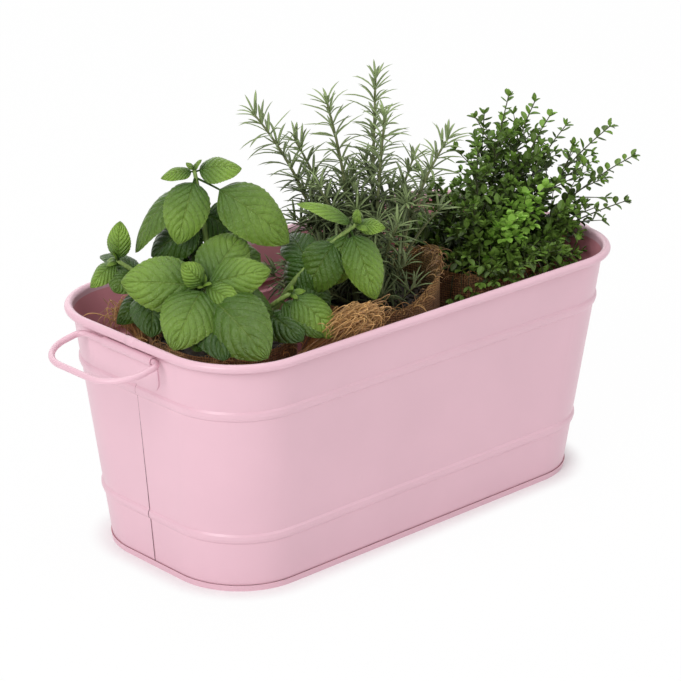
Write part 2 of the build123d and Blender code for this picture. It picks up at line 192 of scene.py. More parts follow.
# Stems: share of a tip's offset that its root has, depth in the soil, height of the bend
ROOT_SPREAD = 0.28
ROOT_DEPTH = 2 * MM
KNEE_RISE = 0.6
WINDOW_SIDE = Vector((-0.684, -0.730, 0.0))
UP = Vector((0, 0, 1))
# Directions that no tube and no stem runs along, to find the way across one
OFF_TUBE = Vector((0.3, 1, 0.1))
OFF_STEM = Vector((0.3, 1, 0))
# Tint of what has no age
PLAIN = 0.5


def sack_size(herb):
    """Middle of a herb's sack and half its width."""
    low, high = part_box(f"{herb}_sack")
    return (low + high) / 2, (high - low).x / 2


SACKS = {herb: sack_size(herb) for herb in ("basil", "rosemary", "thyme")}
SACK_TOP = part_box("basil_sack")[1].z
SACK_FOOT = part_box("basil_sack")[0].z
SOIL_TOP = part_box("basil_root_ball")[1].z
SACK_FOOT_R = 39 * MM
SACK_INSET = 1.2 * MM
SACK_LIFT = 0.3 * MM
SACK_FOLD = 2.2 * MM
SACK_FOLD_IN = 1.4 * MM
MOUTH_WAVE = 2.5 * MM
SOIL_INSET = 5 * MM
SOIL_LUMP = 2.2 * MM
SOIL_CRUMB = 1.2 * MM
CRUMB_OUTLINE = (0.35, 0.85, 1.0, 0.8, 0.3)
# Sack mouths: frayed yarn ends, how far the cloth stands up at one side, and tufts of loose yarn
FRINGE = {"basil": 300, "rosemary": 420, "thyme": 300}
COLLAR_RISE = {"basil": 0.0, "rosemary": 21 * MM, "thyme": 0.0}
COLLAR_TURN = math.radians(-28)
TUFTS = ((Vector((-57, -68, 147)) * MM, 520), (Vector((-131, 48, 139)) * MM, 170))
TUFT_DEPTH = 14 * MM
# Swerve of a loose fibre: how often, how far in mm, and where its three directions read the noise
WANDER_RATE = 90
WANDER_REACH = 1.6
WANDER_SHIFTS = ((0, 0, 0), (31, 17, 5), (7, 43, 29))
FIBRE_TAPER = 0.6


def halfway(left, right):
    """Place along the tub halfway between two neighbouring sacks."""
    return (SACKS[left][0].x + SACKS[left][1] + SACKS[right][0].x - SACKS[right][1]) / 2


# Borders between the herbs, the first one slanted, and clearances that leaves and twigs keep
BASIL_BORDER = halfway("basil", "rosemary")
THYME_BORDER = halfway("rosemary", "thyme")
BORDER_SLANT = 0.9
SOIL_CLEAR = 3 * MM
HANG_BELOW = 25 * MM
TOP_CLEAR = 1 * MM
END_CLEAR = 2 * MM
RIM_CLEAR = 2 * MM
WALL_CLEAR = 3 * MM
COLLAR_CLEAR = 2 * MM
COLLAR_DEPTH = 6 * MM
BARE_COLLAR = 8 * MM
BARE_HEIGHT = 30 * MM

# Stage: lights by place, width and power, what they aim at, the floor, and the camera's framing
LIGHTS = {
    "key": ((-2.0, -0.55, 1.4), 1.3, 32.0),
    "fill": ((0.9, -1.9, 1.1), 1.8, 11.0),
    "top": ((0.2, 0.2, 2.3), 1.3, 16.0),
    "back": ((0.9, 2.1, 1.1), 1.8, 9.0),
}
LIGHT_AIM = Vector((0, 0, 0.12))
FLOOR_HALF = 6.0
FLOOR_FAR_WHITE = 0.97
SENSOR_WIDTH = 36.0
SIGHT_LIMIT = 20.0
CAMERA_ROLL = math.radians(0.25)
CAMERA_LEFT = 3.24 * MM
CAMERA_UP = 26.52 * MM

# What every colour property has
COLOUR = {"subtype": "COLOR", "size": 3, "min": 0, "max": 1}


class TubLook(bpy.types.PropertyGroup):
    """Sizes and colours of the tub's coat and of the sacks' jute."""

    coat: bpy.props.FloatVectorProperty(
        name="Coat", description="Colour of the powder coat",
        **COLOUR, default=(0.75, 0.475, 0.553))
    # Painted shade: the coat's colour inside the tub, darker because that side lies in shade
    coat_inside_shade: bpy.props.FloatVectorProperty(
        name="Coat inside", description="Deeper colour of the coat inside the tub",
        **COLOUR, default=(0.68, 0.27, 0.32))
    coat_roughness: bpy.props.FloatProperty(
        name="Coat roughness", description="How satin the powder coat is",
        subtype="FACTOR", min=0, max=1, default=0.36)
    jute: bpy.props.FloatVectorProperty(
        name="Jute", description="Colour of the jute yarn",
        **COLOUR, default=(0.36, 0.2, 0.09))
    # Also the colour that the painted light at the sacks' mouths moves toward
    loose_yarn: bpy.props.FloatVectorProperty(
        name="Loose yarn", description="Colour of the palest loose fibres",
        **COLOUR, default=(0.9, 0.54, 0.2))
    yarn_pitch: bpy.props.FloatProperty(
        name="Yarn pitch", description="Distance between the yarns of the weave",
        subtype="DISTANCE", min=0.0005, max=0.01, default=0.0016)


class HerbLook(bpy.types.PropertyGroup):
    """Colours of the leaves, and how closely they are set."""

    basil_young: bpy.props.FloatVectorProperty(
        name="Young basil", description="Colour of the top leaves",
        **COLOUR, default=(0.22, 0.36, 0.05))
    basil_old: bpy.props.FloatVectorProperty(
        name="Old basil", description="Colour of the lower leaves",
        **COLOUR, default=(0.024, 0.064, 0.006))
    rosemary_leaf: bpy.props.FloatVectorProperty(
        name="Rosemary", description="Colour of the needle leaves",
        **COLOUR, default=(0.138, 0.18, 0.076))
    thyme_leaf: bpy.props.FloatVectorProperty(
        name="Thyme", description="Colour of the small leaves",
        **COLOUR, default=(0.09, 0.16, 0.025))
    needle_length: bpy.props.FloatProperty(
        name="Needle length", description="Usual length of a rosemary needle",
        subtype="DISTANCE", min=0.005, max=0.05, default=0.0202)
    whorl_pitch: bpy.props.FloatProperty(
        name="Whorl pitch", description="Distance between rosemary whorls",
        subtype="DISTANCE", min=0.002, max=0.02, default=0.0086)
    pair_pitch: bpy.props.FloatProperty(
        name="Pair pitch", description="Distance between thyme leaf pairs",
        subtype="DISTANCE", min=0.002, max=0.02, default=0.0052)


class StageLook(bpy.types.PropertyGroup):
    """Camera, floor and surrounding light."""

    azimuth: bpy.props.FloatProperty(
        name="Azimuth", description="Camera's turn from the front",
        subtype="ANGLE", default=math.radians(-43.19))
    elevation: bpy.props.FloatProperty(
        name="Elevation", description="Camera's height over the object",
        subtype="ANGLE", default=math.radians(21.01))
    distance: bpy.props.FloatProperty(
        name="Distance", description="Camera to the middle of the tub", subtype="DISTANCE", default=1.636)
    lens: bpy.props.FloatProperty(
        name="Lens", description="Focal length on a 36 mm sensor", unit="CAMERA", default=139.55)
    floor: bpy.props.FloatVectorProperty(
        name="Floor", description="Colour of the floor",
        **COLOUR, default=(0.92, 0.92, 0.92))
    floor_white: bpy.props.FloatProperty(
        name="Floor white", description="How far the floor beside the tub is seen as plain white",
        subtype="FACTOR", min=0, max=1, default=0.12)
    shadow_reach: bpy.props.FloatProperty(
        name="Shadow reach", description="How far from the tub its shadow shows",
        subtype="DISTANCE", min=0.01, max=1, default=0.016)
    ambient: bpy.props.FloatProperty(
        name="Ambient", description="Strength of the soft light from all round",
        min=0, max=2, default=0.42)


class Graph:
    """Short way to lay out the nodes of a new material, or of a tree that is given."""

    def __init__(self, name, tree=None):
        self.tree = tree
        if tree is None:
            self.material = bpy.data.materials.new(name)
            self.material.use_nodes = True
            self.tree = self.material.node_tree
            self.shader = self.tree.nodes["Principled BSDF"]

    def fill(self, node, inputs):
        for key, value in inputs.items():
            socket = node.inputs[key]
            if isinstance(value, bpy.types.NodeSocket):
                self.tree.links.new(value, socket)
            else:
                socket.default_value = value

    def node(self, kind, inputs=None, **settings):
        node = self.tree.nodes.new(f"ShaderNode{kind}")
        for key, value in settings.items():
            setattr(node, key, value)
        self.fill(node, inputs or {})
        return node

    def place(self):
        return self.node("TexCoord").outputs["Object"]

    def uv(self):
        return self.node("UVMap").outputs["UV"]

    def tint(self):
        return self.node("Attribute", attribute_name="tint").outputs["Fac"]

    def axes(self, vector):
        return self.node("SeparateXYZ", {"Vector": vector}).outputs

    def vector(self, operation, a, b=(0, 0, 0)):
        return self.node("VectorMath", {0: a, 1: b}, operation=operation).outputs

    def math(self, operation, a, b=0.0):
        return self.node("Math", {0: a, 1: b}, operation=operation).outputs[0]

    def add(self, a, b):
        return self.math("ADD", a, b)

    def less(self, a, b):
        return self.math("SUBTRACT", a, b)

    def times(self, a, b):
        return self.math("MULTIPLY", a, b)

    def most(self, a, b):
        return self.math("MAXIMUM", a, b)

    def noise(self, vector, scale, detail=3.0, distortion=0.0):
        inputs = {"Vector": vector, "Scale": scale, "Detail": detail, "Distortion": distortion}
        return self.node("TexNoise", inputs).outputs["Fac"]

    def sway(self, vector, scale, detail, amount):
        """Noise that goes both ways from zero."""
        return self.times(self.less(self.noise(vector, scale, detail), 0.5), amount)

    def ramp(self, fac, *stops):
        node = self.node("ValToRGB", {"Fac": fac})
        elements = node.color_ramp.elements
        while len(elements) < len(stops):
            elements.new(0.5)
        for element, (place, colour) in zip(elements, stops):
            element.position = place
            element.color = (*colour, 1.0)
        return node.outputs["Color"]

    def grey(self, fac, *stops):
        return self.ramp(fac, *((place, (level,) * 3) for place, level in stops))

    def span(self, fac, low, high, start=0.0, end=1.0, **settings):
        inputs = {"Value": fac, "From Min": start, "From Max": end, "To Min": low, "To Max": high}
        return self.node("MapRange", inputs, **settings).outputs["Result"]

    def mix(self, fac, a, b):
        """Mix of two colours; the sockets are those of the node's colour mode."""
        node = self.node("Mix", data_type="RGBA")
        a, b = (c if isinstance(c, bpy.types.NodeSocket) else (*c, 1.0) for c in (a, b))
        self.fill(node, {0: fac, 6: a, 7: b})
        return node.outputs[2]

    def bump(self, height, strength, distance, normal=None):
        inputs = {"Height": height, "Strength": strength, "Distance": distance}
        if normal is not None:
            inputs["Normal"] = normal
        return self.node("Bump", inputs).outputs["Normal"]

    def shade(self, **inputs):
        self.fill(self.shader, {key.replace("_", " "): value for key, value in inputs.items()})
        return self.material


def tone(colour, factor):
    """Lighter or darker version of a colour."""
    return tuple(min(1.0, channel * factor) for channel in colour)


def inside_of_tub(g, place):
    """One on faces below the rim that look in toward the tub's middle, else zero: where the coat gets
    painted shade.
    """
    aside = g.vector("MULTIPLY", place, (1, 1, 0))["Vector"]
    outward = g.vector("DOT_PRODUCT", g.node("NewGeometry").outputs["Normal"], aside)["Value"]
    inward = g.grey(outward, (0.0, 1), (0.01, 0))
    return g.times(inward, g.math("LESS_THAN", g.axes(place)["Z"], TUB_HEIGHT - 2 * RIM_R))


def coat_material(look, name, inside_shade):
    """Satin powder coat: slight orange peel and soft patches; one with inside_shade gets painted shade, a
    deeper colour on its faces inside the tub.
    """
    g = Graph(name)
    place = g.place()
    patches = g.noise(place, 14.0, 4.0)
    colour = g.ramp(patches, (0.25, tone(look.coat, 0.955)), (0.75, tone(look.coat, 1.03)))
    # Painted shade: faces inside the tub take the darker inside colour
    if inside_shade:
        colour = g.mix(inside_of_tub(g, place), colour, look.coat_inside_shade)
    specks = g.noise(place, 2600.0, 2.0)
    colour = g.mix(g.span(specks, 0.0, 0.12), colour, tone(look.coat, 0.86))
    peel = g.noise(place, 720.0, 2.0)
    dents = g.noise(place, 24.0, 1.0)
    normal = g.bump(peel, 0.12, 0.0003, g.bump(dents, 0.10, 0.0012))
    rough = g.span(g.noise(place, 60.0, 3.0), look.coat_roughness - 0.05, look.coat_roughness + 0.07)
    return g.shade(Base_Color=colour, Roughness=rough, Normal=normal, Specular_IOR_Level=0.5,
                   Coat_Weight=0.12, Coat_Roughness=0.25)


def seam_shade_material(look):
    """Painted shade for the dark lines in the tub's joints, uneven along its length."""
    g = Graph("seam_shade")
    gaps = g.noise(g.place(), 130.0, 3.0)
    colour = g.ramp(gaps, (0.35, tone(look.coat, 0.16)), (0.7, tone(look.coat, 0.5)))
    return g.shade(Base_Color=colour, Roughness=0.8, Specular_IOR_Level=0.2)


def wire_material():
    """Drawn steel wire with a fine grain."""
    g = Graph("steel_wire")
    grain = g.noise(g.place(), 900.0, 4.0)
    colour = g.ramp(grain, (0.3, (0.32, 0.32, 0.33)), (0.7, (0.5, 0.5, 0.51)))
    return g.shade(Base_Color=colour, Metallic=1.0, Roughness=g.span(grain, 0.3, 0.5),
                   Normal=g.bump(grain, 0.1, 0.0001))


def weave_heights(g, u, v, pitch):
    """Heights of a plain weave's two yarn sets over cloth coordinates in metres."""
    column, row = g.math("DIVIDE", u, pitch), g.math("DIVIDE", v, pitch)
    parity = g.math("MODULO", g.add(g.math("FLOOR", column), g.math("FLOOR", row)), 2.0)
    sign = g.less(g.times(g.math("ABSOLUTE", parity), 2.0), 1.0)
    across, along = (g.math("SINE", g.times(g.math("FRACT", yarn), math.pi)) for yarn in (column, row))
    level, lift = 0.55, g.times(sign, 0.45)
    warp = g.times(across, g.add(level, g.times(lift, along)))
    weft = g.times(along, g.less(level, g.times(lift, across)))
    return warp, weft


def jute_material(look):
    """Open plain weave of hairy, uneven jute yarn, with painted light that makes it pale at the mouth and
    painted shade in the gaps between yarns.
    """
    g = Graph("jute")
    uv = g.uv()
    cloth = g.axes(uv)
    wobble = g.sway(uv, 160.0, 2.0, look.yarn_pitch * 0.9)
    u, v = g.add(cloth["X"], wobble), g.add(cloth["Y"], wobble)
    height = g.most(*weave_heights(g, u, v, look.yarn_pitch))
    slubs = g.noise(uv, 330.0, 5.0, 1.0)
    yarn = g.ramp(slubs, (0.25, tone(look.jute, 0.5)), (0.5, look.jute), (0.8, tone(look.jute, 1.7)))
    # Painted light: the cloth is paler near the mouth, where light falls on the standing collar
    painted_light_at_mouth = g.span(cloth["Y"], 0.0, 0.95, SACK_TOP - 5 * MM, SACK_TOP + 6 * MM)
    yarn = g.mix(painted_light_at_mouth, yarn, tone(look.loose_yarn, 0.85))
    # Painted shade: the gaps between the yarns are nearly black
    colour = g.mix(g.span(height, 0.05, 0.95), tone(look.jute, 0.16), yarn)
    fuzz = g.noise(uv, 1500.0, 3.0)
    normal = g.bump(fuzz, 0.4, 0.0003, g.bump(height, 0.9, 0.0008))
    return g.shade(Base_Color=colour, Roughness=0.93, Normal=normal, Sheen_Weight=0.08,
                   Sheen_Roughness=0.6, Specular_IOR_Level=0.2)


def fibre_material(look):
    """Loose jute fibres, each with its own tone."""
    g = Graph("jute_fibre")
    streak = g.noise(g.place(), 700.0, 3.0)
    dark = tone(look.jute, 0.5)
    yarn = g.ramp(g.tint(), (0.0, dark), (0.45, tone(look.jute, 1.2)), (1.0, look.loose_yarn))
    colour = g.mix(g.span(streak, 0.0, 0.4), yarn, dark)
    return g.shade(Base_Color=colour, Roughness=g.span(streak, 0.55, 0.8),
                   Normal=g.bump(streak, 0.3, 0.0002))


def soil_material():
    """Moist peat: dark crumbs with paler bits of fibre."""
    g = Graph("soil")
    place = g.place()
    crumbs = g.noise(place, 420.0, 6.0)
    bits = g.noise(place, 900.0, 2.0, 1.5)
    peat = ((0.3, (0.006, 0.004, 0.003)), (0.6, (0.03, 0.017, 0.009)), (0.8, (0.07, 0.04, 0.02)))
    colour = g.mix(g.grey(bits, (0.66, 0), (0.72, 0.6)), g.ramp(crumbs, *peat), (0.14, 0.085, 0.04))
    return g.shade(Base_Color=colour, Roughness=g.span(crumbs, 0.6, 0.95),
                   Normal=g.bump(crumbs, 0.8, 0.0015))


def leaf_colour(g, place, young, old):
    """Leaf colour from the tint that each leaf carries, which holds its age and, for some leaves, painted
    light, with soft blotches.
    """
    age = g.add(g.tint(), g.sway(place, 90.0, 4.0, 0.35))
    return g.ramp(age, (0.0, old), (1.0, young))


def from_midrib(g, across):
    """Distance from a leaf's midrib, one at its edge."""
    return g.math("ABSOLUTE", g.less(g.times(across, 2.0), 1.0))


def basil_material(look, name, paler):
    """Basil leaf: midrib and arching side veins over puckered, shining tissue, with painted shade that
    darkens it toward its foot.
    """
    g = Graph(name)
    place = g.place()
    blade = g.axes(g.uv())
    side = from_midrib(g, blade["X"])
    sweep = g.times(g.math("POWER", side, VEIN_BEND), VEIN_SWEEP)
    reach = g.add(g.sway(place, 110.0, 2.0, 0.06), g.less(blade["Y"], sweep))
    wave = g.math("ABSOLUTE", g.math("SINE", g.times(reach, math.pi * VEINS)))
    vein = g.grey(wave, (0.0, 1), (0.2, 0))
    rib = g.grey(side, (0.0, 1), (0.05, 0))
    colour = leaf_colour(g, place, tone(look.basil_young, paler), tone(look.basil_old, paler))
    # Painted shade: the blade darkens toward its foot, where the leaves above shade it
    painted_shade_at_foot = g.grey(blade["Y"], (0.1, 0.95), (0.72, 0))
    colour = g.mix(painted_shade_at_foot, colour, tone(look.basil_old, 1.3))
    pale = g.mix(0.5, colour, (0.34, 0.42, 0.13))
    colour = g.mix(g.times(g.most(vein, rib), 0.4), colour, pale)
    net = g.node("TexVoronoi", {"Vector": place, "Scale": 700.0}, feature="DISTANCE_TO_EDGE")
    pucker = g.noise(place, 330.0, 3.0)
    quilt = g.add(g.times(g.math("POWER", wave, 0.5), 0.6), g.times(pucker, 0.9))
    quilt = g.add(quilt, g.times(net.outputs["Distance"], 0.4))
    height = g.less(quilt, g.times(rib, 0.5))
    return g.shade(Base_Color=colour, Roughness=g.span(pucker, 0.26, 0.44), Specular_IOR_Level=0.3,
                   Normal=g.bump(height, 0.85, 0.0014), Subsurface_Weight=0.12,
                   Subsurface_Radius=(0.002, 0.003, 0.0008), Subsurface_Scale=0.4)


def needle_material(look):
    """Rosemary needle: leathery, grey-green, lighter when young and paler below."""
    g = Graph("rosemary_leaf")
    place = g.place()
    colour = leaf_colour(g, place, tone(look.rosemary_leaf, 2.1), tone(look.rosemary_leaf, 0.36))
    under = g.grey(g.axes(g.uv())["X"], (0.7, 0), (0.8, 1))
    colour = g.mix(g.times(under, 0.45), colour, (0.33, 0.38, 0.27))
    grain = g.noise(place, 1800.0, 2.0)
    return g.shade(Base_Color=colour, Roughness=g.span(grain, 0.42, 0.6),
                   Normal=g.bump(grain, 0.2, 0.0002), Specular_IOR_Level=0.26)


def thyme_material(look):
    """Thyme leaf: small, softly shining, with a pale midrib."""
    g = Graph("thyme_leaf")
    place = g.place()
    colour = leaf_colour(g, place, tone(look.thyme_leaf, 3.1), tone(look.thyme_leaf, 0.35))
    rib = g.grey(from_midrib(g, g.axes(g.uv())["X"]), (0.0, 1), (0.16, 0))
    colour = g.mix(g.times(rib, 0.3), colour, (0.3, 0.38, 0.1))
    pores = g.noise(place, 2200.0, 2.0)
    return g.shade(Base_Color=colour, Roughness=g.span(pores, 0.38, 0.55),
                   Normal=g.bump(pores, 0.2, 0.0002), Specular_IOR_Level=0.28)


def stem_material(name, low, high):
    """Stem bark: upright streaks between two tones."""
    g = Graph(name)
    stretched = g.node("Mapping", {"Vector": g.place(), "Scale": (1.0, 1.0, 0.2)}).outputs["Vector"]
    streak = g.noise(stretched, 900.0, 4.0)
    colour = g.ramp(streak, (0.3, low), (0.7, high))
    return g.shade(Base_Color=colour, Roughness=g.span(streak, 0.5, 0.8),
                   Normal=g.bump(streak, 0.4, 0.0003))


class Growth:
    """Collects the points, faces, cloth coordinates and tints of one piece."""

    def __init__(self):
        self.points, self.faces, self.slots, self.uvs, self.tints = [], [], [], [], []

    def grid(self, rows, slot, tint, uvs, closed=False):
        """Faces over rows of points of equal length."""
        start, width = len(self.points), len(rows[0])
        for row, row_uvs in zip(rows, uvs):
            self.points += row
            self.uvs += row_uvs
            self.tints += [tint] * width
        for r in range(len(rows) - 1):
            for c in range(width if closed else width - 1):
                low, high = start + r * width, start + (r + 1) * width
                d = (c + 1) % width
                self.faces.append((low + c, low + d, high + d, high + c))
                self.slots.append(slot)

    def tube(self, path, radii, slot, tint, sides=6):
        """Tapered tube along points."""
        rows, uvs = [], []
        turns = [2 * math.pi * i / sides for i in range(sides)]
        for k, (p, r) in enumerate(zip(path, radii)):
            along = (path[min(k + 1, len(path) - 1)] - path[max(k - 1, 0)]).normalized()
            u = along.cross(OFF_TUBE).normalized()
            v = along.cross(u)
            rows.append([p + u * (r * math.cos(t)) + v * (r * math.sin(t)) for t in turns])
            uvs.append([(i / sides, k / len(path)) for i in range(sides)])
        self.grid(rows, slot, tint, uvs, closed=True)
        for row in (0, len(rows) - 1):
            start = len(self.points) - (len(rows) - row) * sides
            self.faces.append(tuple(range(start, start + sides)))
            self.slots.append(slot)

    def stalk(self, stem, foot, end, slot, sides, steps=16):
        """Tube along a stem, from one radius to another."""
        shares = [k / steps for k in range(steps + 1)]
        radii = [foot + (end - foot) * share for share in shares]
        self.tube([stem.point(share) for share in shares], radii, slot, PLAIN, sides)

    def build(self, name, materials, body, *nodes):
        """Make the object, let it ride on its body and stand for its nodes."""
        mesh = bpy.data.meshes.new(name)
        mesh.from_pydata([tuple(p) for p in self.points], [], self.faces)
        layer = mesh.uv_layers.new(name="UVMap")
        for loop in mesh.loops:
            layer.data[loop.index].uv = self.uvs[loop.vertex_index]
        tint = mesh.attributes.new("tint", "FLOAT", "POINT")
        tint.data.foreach_set("value", self.tints)
        for material in materials:
            mesh.materials.append(material)
        mesh.polygons.foreach_set("material_index", self.slots)
        mesh.shade_smooth()
        piece = bpy.data.objects.new(name, mesh)
        bpy.context.collection.objects.link(piece)
        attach(piece, body)
        if nodes:
            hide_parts(*nodes)
        return piece


def half_length(z):
    """Half the tub's length at one height."""
    return FOOT_HALF_LENGTH + (TOP_HALF_LENGTH - FOOT_HALF_LENGTH) * z / TUB_HEIGHT


def half_width(z):
    """Half the tub's width at one height."""
    return FOOT_HALF_WIDTH + (TOP_HALF_WIDTH - FOOT_HALF_WIDTH) * z / TUB_HEIGHT


def turn_of(p, middle):
    """Turn of a point round a sack's middle."""
    return math.atan2(p.y - middle.y, p.x - middle.x)


def ring_point(middle, radius, turn, z):
    """Point at one turn and height round a sack's middle."""
    return Vector((middle.x + radius * math.cos(turn), middle.y + radius * math.sin(turn), z))


def collar(herb, turn):
    """How far a sack's mouth stands above the others' at one turn round it."""
    return COLLAR_RISE[herb] * max(0.0, math.cos(turn - COLLAR_TURN)) ** 2


def on_collar_side(p, herb):
    """True for a low point over the side where a sack's collar stands, which is bare of twigs."""
    return p.z < TUB_HEIGHT + BARE_HEIGHT and collar(herb, turn_of(p, SACKS[herb][0])) > BARE_COLLAR


def in_handle_swing(p):
    """True for a point that a handle passes as it swings."""
    near_end = abs(p.x) > HINGE_OUT - SWING_CLEAR and abs(p.y) < SWING_SIDE
    return near_end and math.hypot(abs(p.x) - HINGE_OUT, p.z - HINGE_HEIGHT) < SWING_REACH


def has_room(p, herb):
    """True for a point clear of soil, walls, collar, the handles' swing and the other herbs' way out."""
    middle, mouth = SACKS[herb]
    from_middle = math.hypot(p.x - middle.x, p.y - middle.y)
    lowest = SOIL_TOP + SOIL_CLEAR if from_middle < mouth else SACK_TOP - HANG_BELOW
    if not lowest < p.z < CAD_BOX[1][2] - TOP_CLEAR:
        return False
    if abs(p.x) > HANDLE_HIGH.x - END_CLEAR or abs(p.y) > TOP_HALF_WIDTH or in_handle_swing(p):
        return False
    x, y = half_length(p.z) - abs(p.x), half_width(p.z) - abs(p.y)
    corner = math.hypot(max(0, CORNER_R - x), max(0, CORNER_R - y))
    if p.z < TUB_HEIGHT + RIM_CLEAR and corner > CORNER_R - WALL_CLEAR:
        return False
    for other, (spot, room) in SACKS.items():
        if other != herb and math.hypot(p.x - spot.x, p.y - spot.y) < room:
            return False
    rise = collar(herb, turn_of(p, middle))
    if rise and p.z < SACK_TOP + rise + COLLAR_CLEAR and from_middle > mouth - COLLAR_DEPTH:
        return False
    slanted = p.x + BORDER_SLANT * p.y - BASIL_BORDER
    own_side = {"basil": slanted < 0, "rosemary": slanted > 0 and p.x < THYME_BORDER,
                "thyme": p.x > THYME_BORDER}
    return own_side[herb]


def may_grow(tip, herb):
    """True for a tip that has room and keeps off the bare side."""
    return has_room(tip, herb) and not on_collar_side(tip, herb)


def bend(start, pull, end, t):
    """Point at share t of a bend that leaves its start toward pull and comes over to its end."""
    return start * (1 - t) ** 2 + pull * (2 * t * (1 - t)) + end * t ** 2


class Stem:
    """Shoot that leaves its root upright and bends over to its tip."""

    def __init__(self, root, tip, knee=0.25, arch=0.0):
        self.root, self.tip = root, tip
        lean = (tip - root) * knee
        height = root.z + KNEE_RISE * (tip.z - root.z) + arch
        self.knee = Vector((root.x + lean.x, root.y + lean.y, height))

    def point(self, share):
        return bend(self.root, self.knee, self.tip, share)

    def frame(self, share, step=0.02):
        """Point at a share of the stem, the way it runs there, and two ways across it."""
        along = (self.point(share + step) - self.point(share - step)).normalized()
        across = along.cross(OFF_STEM).normalized()
        return self.point(share), along, across, along.cross(across)

    def length(self):
        return (self.tip - self.root).length


def stems_of(herb, tips):
    """A herb's main stems, numbered from one."""
    middle = SACKS[herb][0]
    for number, offset in enumerate(tips, 1):
        x, y = (ROOT_SPREAD * side * MM for side in offset[:2])
        root = Vector((middle.x + x, middle.y + y, SOIL_TOP))
        tip = Vector((middle.x, middle.y, TUB_HEIGHT)) + Vector(offset) * MM
        yield number, Stem(root - UP * ROOT_DEPTH, tip)


def outward(u, v, turn):
    """Direction away from a stem at one turn round it."""
    return u * math.cos(turn) + v * math.sin(turn)


def facing(turn):
    """Upward direction, turned by some degrees toward the window."""
    angle = math.radians(turn)
    return WINDOW_SIDE * math.sin(angle) + Vector((0, 0, math.cos(angle)))


def leaf_frame(base, tip, up):
    """Direction across a leaf and direction out of its upper face."""
    along = (tip - base).normalized()
    normal = up - along * up.dot(along)
    if normal.length < 0.2:
        normal = WINDOW_SIDE - along * WINDOW_SIDE.dot(along)
    normal.normalize()
    return along.cross(normal), normal


def bow(t):
    """Arch along a leaf: nothing at its ends, one at its middle."""
    return 4 * t * (1 - t)


def basil_width(s):
    """Half width of a basil leaf at share s of its blade, as a part of its widest."""
    return max(0.0, s) ** BLADE_FOOT * max(0.0, 1 - s) ** BLADE_POINT / BLADE_WIDEST


def basil_leaf(growth, base, tip, width, turn, tint, rng, stalk=STALK, rows=40, columns=16):
    """Domed oval leaf: short stalk, sunk midrib, blisters between veins, toothed edge, drooping point."""
    across, normal = leaf_frame(base, tip, facing(turn))
    reach = tip - base
    arch, dome = LEAF_ARCH + rng.uniform(-0.02, 0.03), LEAF_DOME + rng.uniform(-0.04, 0.04)
    twist, phase = rng.uniform(-0.15, 0.15), rng.uniform(0, 6)
    upper, lower, uvs = [], [], []
    for r in range(rows + 1):
        t = r / rows
        s = (t - stalk) / (1 - stalk)
        half = max(STALK_R * (1 - t) + 0.05 * MM, width / 2 * basil_width(s))
        tooth = 1 + TOOTH_DEPTH * math.sin(2 * math.pi * TEETH * s)
        middle = base + reach * t + normal * (arch * reach.length * bow(t))
        lean = twist * max(0.0, s)
        side = across * math.cos(lean) + normal * math.sin(lean)
        face = normal * math.cos(lean) - across * math.sin(lean)
        top, under = [], []
        for c in range(columns + 1):
            u = 2 * c / columns - 1
            near = abs(u)
            vein = math.cos(2 * math.pi * VEINS * (t - VEIN_SWEEP * near ** VEIN_BEND))
            blister = BLISTER * vein * min(1, near / MIDRIB_FLAT) * (1 - near)
            rise = LEAF_SHOULDER * near ** 0.8 * (1 - near) - dome * u * u - blister
            ripple = RIPPLE * math.sin(11 * s + 2.5 * u + phase) * u * u
            wide = half * u * (tooth if near > EDGE else 1)
            p = middle + side * wide + face * (half * (rise + ripple))
            top.append(p)
            thick = BLADE_THICK * (1 - u * u) * min(1, (1 - t) / THIN_POINT) + BLADE_EDGE
            under.append(p - face * thick)
        upper.append(top)
        lower.append(under[::-1])
        uvs.append([(c / columns, t) for c in range(columns + 1)])
    growth.grid(upper, 0, tint, uvs)
    growth.grid(lower, 1, tint, uvs)


def needle(growth, base, tip, width, tint, droop):
    """Rosemary needle: narrow and ridged above and below, arching over toward its point."""
    across, normal = leaf_frame(base, tip, UP)
    reach = tip - base
    rows, uvs = [], []
    for t, wide in NEEDLE_OUTLINE:
        half = width / 2 * wide
        p = base + reach * t + normal * (droop * reach.length * bow(t))
        above, below = p + normal * (half * NEEDLE_RIDGE), p - normal * (half * NEEDLE_BELLY)
        rows.append([p - across * half, above, p + across * half, below])
        uvs.append([(0.0, t), (0.25, t), (0.5, t), (1.0, t)])
    growth.grid(rows, 0, tint, uvs, closed=True)


def thyme_leaf(growth, base, tip, width, tint, cup):
    """Thyme leaf: small, oval, thick, cupped upward along its midrib."""
    across, normal = leaf_frame(base, tip, UP)
    reach = tip - base
    upper, lower, uvs = [], [], []
    for t, wide in THYME_OUTLINE:
        half = width / 2 * wide
        p = base + reach * t - normal * (cup * reach.length * bow(t))
        top = [p + across * (half * u) + normal * (half * THYME_CUP * abs(u) ** 1.5)
               for u in THYME_COLUMNS]
        under = [q - normal * (THYME_THICK * (1.05 - abs(u))) for q, u in zip(top, THYME_COLUMNS)]
        upper.append(top)
        lower.append(under[::-1])
        uvs.append([(0.5 + u / 2, t) for u in THYME_COLUMNS])
    growth.grid(upper, 0, tint, uvs)
    growth.grid(lower, 0, tint, uvs)


